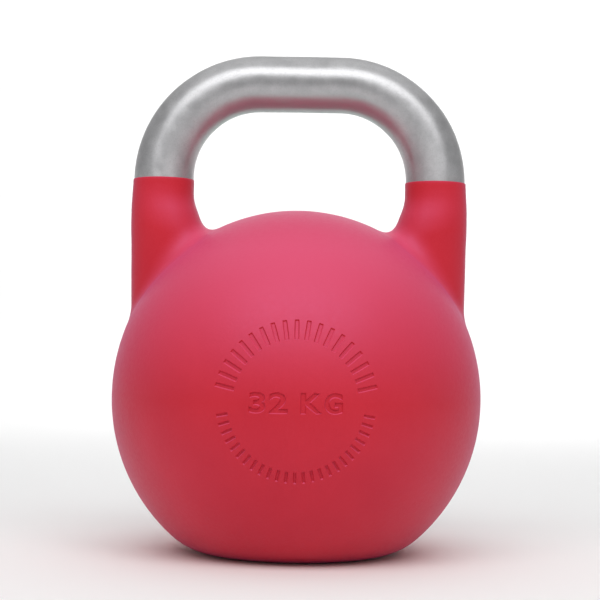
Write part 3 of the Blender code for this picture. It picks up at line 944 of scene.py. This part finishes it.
def rubber(name, grey, grain):
    """Matt black rubber or foam with a grain of a given size."""
    shader = Shader(name, (grey, grey, grey), 0.75)
    place = shader.place()
    skin = shader.noise(place, grain, 4, 0.6)
    pores = shader.spread(shader.cells(place, grain * 1.4), 0.05, 0.35, 1.0, 0.0)
    colour = shader.ramp(skin, (0.3, (grey * 0.7,) * 3), (0.7, (grey * 1.6,) * 3))
    shader.link(colour, "Base Color")
    shader.link(shader.spread(skin, 0.3, 0.7, 0.66, 0.86), "Roughness")
    shader.bump((skin, grain * 0.08), (pores, -grain * 0.12))
    return shader.material


def spanner_cutter(centre_x, material):
    """A cutter for one countersunk spanner hole in the plug's outer face."""
    bottom = PLUG_LOW.z
    start = SPANNER_RADIUS + SPANNER_FLARE
    rows = [
        (start, bottom),
        (SPANNER_RADIUS, bottom + SPANNER_FLARE),
        (SPANNER_RADIUS, bottom + SPANNER_DEPTH),
    ]
    bm = bmesh.new()
    ring = []
    for step in range(SPANNER_SEGMENTS):
        angle = math.tau * step / SPANNER_SEGMENTS
        place = (centre_x + start * math.cos(angle), start * math.sin(angle), bottom - MM)
        ring.append(bm.verts.new(place))
    bm.faces.new(ring)
    for radius, height in rows:
        ring = ring_on(bm, ring, oval_place(centre_x, radius, radius, height))
    bm.faces.new(ring)
    bmesh.ops.recalc_face_normals(bm, faces=bm.faces[:])
    return new_piece("spanner_cutter", bm, material)


def plug(material):
    """The plug as turned: chamfered flange and shank, spanner holes with a countersink."""
    flange, shank = COUNTERBORE_RADIUS - GAP, HOLE_RADIUS - GAP
    flange_top = COUNTERBORE_DEPTH - GAP
    flange_chamfer = PLUG_CHAMFER / 4
    groove_x = (HOLE_RADIUS + COUNTERBORE_RADIUS) / 2
    groove_z = flange_top - GROOVE_DEPTH
    bottom, top = PLUG_LOW.z, PLUG_HIGH.z
    hole_z = top - SCREW_HOLE_DEPTH
    profile = [
        (0, hole_z),
        (SCREW_HOLE_RADIUS, hole_z),
        (SCREW_HOLE_RADIUS, top),
        (shank - PLUG_CHAMFER, top),
        (shank, top - PLUG_CHAMFER),
        (shank, flange_top),
        (groove_x - GROOVE_HALF, flange_top),
        (groove_x - GROOVE_HALF, groove_z),
        (groove_x + GROOVE_HALF, groove_z),
        (groove_x + GROOVE_HALF, flange_top),
        (flange - flange_chamfer, flange_top),
        (flange, flange_top - flange_chamfer),
        (flange, bottom + PLUG_CHAMFER),
        (flange - PLUG_CHAMFER, bottom),
        (DISH_RADIUS + DISH_DEPTH, bottom),
        (DISH_RADIUS, bottom + DISH_DEPTH),
        (0, bottom + DISH_DEPTH),
    ]
    bm = bmesh.new()
    verts = [bm.verts.new((radius, 0, height)) for radius, height in profile]
    for start, end in zip(verts, verts[1:]):
        bm.edges.new((start, end))
    body = new_piece("plug_body", bm, material)
    turn = body.modifiers.new("turn", "SCREW")
    turn.steps = turn.render_steps = PLUG_SEGMENTS
    turn.use_merge_vertices = True
    turn.merge_threshold = 0.01 * MM
    cutters = [spanner_cutter(side * SPANNER_SPACING / 2, material) for side in (-1, 1)]
    return cut_piece("turned_plug", body, cutters, material)


def dress_nodes(steel, zinc):
    """Give every CAD node that stays shown a detailed material."""
    dowel = ground_steel("dowel_steel", 0.46, 0.28)
    trim = ground_steel("trim_steel", 0.36, 0.40)
    looks = {
        "handle_dowel_left": dowel,
        "handle_dowel_right": dowel,
        "trim_disc_1": trim,
        "trim_disc_2": trim,
        "trim_disc_3": trim,
        "trim_washer": zinc,
        "trim_screw": black_oxide(),
        "ballast_core": shot_in_resin(),
        "packing_pad": rubber("foam_rubber", 0.030, 1.1 * MM),
        "plug_seal": rubber("seal_rubber", 0.016, 0.4 * MM),
    }
    for name, material in looks.items():
        for slot in bpy.data.objects[name].material_slots:
            slot.material = material


def backdrop():
    """A pale floor that sweeps up behind the object."""
    bm = bmesh.new()
    front, back, radius, top, half = -2.6, 1.6, 0.8, 3.0, 4.0
    outline = [(front, 0)]
    for step in range(13):
        angle = math.pi / 2 * step / 12
        outline.append((back + radius * math.sin(angle), radius * (1 - math.cos(angle))))
    outline.append((back + radius, top))
    rows = [[bm.verts.new((x, y, z)) for x in (-half, half)] for y, z in outline]
    for low, high in zip(rows, rows[1:]):
        bm.faces.new((low[0], low[1], high[1], high[0]))
    shader = Shader("backdrop", FLOOR_COLOUR, 0.9)
    floor = new_piece("backdrop", bm, shader.material)
    floor.location.z = -0.05 * MM


def area_light(name, place, target, size, power):
    """A soft rectangular light that faces a point."""
    data = bpy.data.lights.new(name, "AREA")
    data.shape = "RECTANGLE"
    data.size, data.size_y = size
    data.energy = power
    light = bpy.data.objects.new(name, data)
    light.location = place
    light.rotation_euler = (Vector(target) - Vector(place)).to_track_quat("-Z", "Y").to_euler()
    bpy.context.scene.collection.objects.link(light)


def lighting():
    """A soft key above the front, a broad top light, a wash for the backdrop, and a white room."""
    for light in LIGHTS:
        area_light(*light)
    world = bpy.data.worlds.new("room")
    world.use_nodes = True
    background = world.node_tree.nodes["Background"]
    background.inputs["Color"].default_value = (1, 1, 1, 1)
    background.inputs["Strength"].default_value = ROOM_STRENGTH
    bpy.context.scene.world = world
    bpy.context.scene.view_settings.view_transform = "Standard"


def camera():
    """The camera: just above the ball's middle, tilted slightly up."""
    data = bpy.data.cameras.new("camera")
    data.lens = CAMERA_LENS
    data.sensor_width = 36
    cam = bpy.data.objects.new("camera", data)
    cam.location = (CAMERA_ASIDE, -CAMERA_DISTANCE, BALL_Z + CAMERA_LIFT)
    tilt = Matrix.Rotation(math.radians(90 + CAMERA_TILT), 3, "X")
    roll = Matrix.Rotation(math.radians(CAMERA_ROLL), 3, "Z")
    cam.rotation_euler = (tilt @ roll).to_euler()
    bpy.context.scene.collection.objects.link(cam)
    bpy.context.scene.camera = cam


def build():
    """Make every piece, the stage, the lights and the camera."""
    paint, steel, zinc = powder_coat(), linished_steel(), turned_zinc()
    pieces = (
        (painted_skin(paint), "powder_coat", ("ball_shell",)),
        (handle(steel), "linished_steel", ("handle_bar",)),
        (plug(zinc), "zinc_plate", ("base_plug",)),
    )
    for piece, slot, nodes in pieces:
        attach(piece, "root")
        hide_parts(*nodes)
    dress_nodes(steel, zinc)
    backdrop()
    lighting()
    camera()


build()
